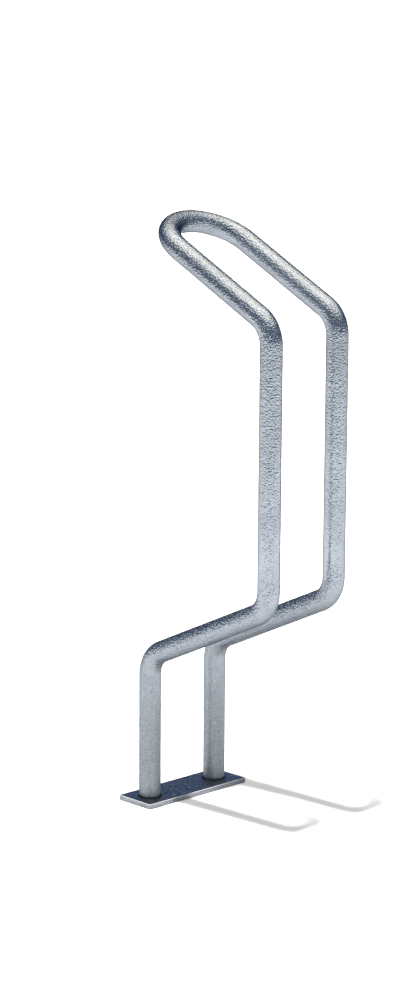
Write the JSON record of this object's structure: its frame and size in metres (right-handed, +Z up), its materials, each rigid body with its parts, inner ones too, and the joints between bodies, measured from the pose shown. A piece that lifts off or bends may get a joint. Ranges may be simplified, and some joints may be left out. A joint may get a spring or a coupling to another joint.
{
  "type": "hoop bike rack",
  "caption": "Galvanised hoop bike rack: pipe bent into a forward-stepping, back-leaning loop on a flat base plate, so that a bicycle wheel slots between its uprights and is locked to the pipe.",
  "frame": {"origin": "on the ground under the base plate, midway between the two tapped fixing holes, which lie on the leg axes", "axes": "+Z up, +X the way the pipes step forward from the legs to the uprights, +Y from the left leg to the right leg; left and right are those of the picture"},
  "size_m": [0.3034, 0.206, 0.9089],
  "materials": {
    "galvanised_plate": "hot-dip galvanised flat bar, glossy zinc",
    "galvanised_pipe": "hot-dip galvanised pipe, glossy zinc with a dimpled skin",
    "galvanised_weld": "zinc-covered weld bead"
  },
  "bodies": {
    "root": {"base_plate": "galvanised_plate", "left_bent_tube": "galvanised_pipe", "right_bent_tube": "galvanised_pipe", "left_foot_weld": "galvanised_weld", "right_foot_weld": "galvanised_weld", "crown_weld": "galvanised_weld"}
  },
  "joints": []
}
